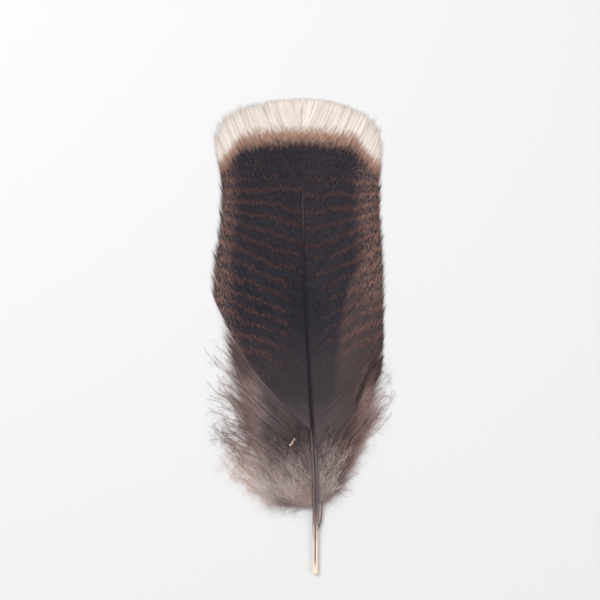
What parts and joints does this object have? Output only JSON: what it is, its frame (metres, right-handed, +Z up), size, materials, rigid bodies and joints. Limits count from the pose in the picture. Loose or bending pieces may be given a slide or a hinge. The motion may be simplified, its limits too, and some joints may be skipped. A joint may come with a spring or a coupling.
{
  "type": "turkey tail feather",
  "caption": "Barred tail feather of a turkey with a bare quill, closed vanes, a pale tip and loose down at the foot, lying face up.",
  "frame": {"origin": "under the middle of the feather, on the surface that it lies on", "axes": "+Y from the quill's end to the tip, +Z up through the vanes, +X to the right vane"},
  "size_m": [0.0888, 0.2142, 0.0072],
  "materials": {
    "feather": "matt vanes with a faint sheen, glossy shaft"
  },
  "bodies": {
    "root": {"feather": "feather"}
  },
  "joints": []
}
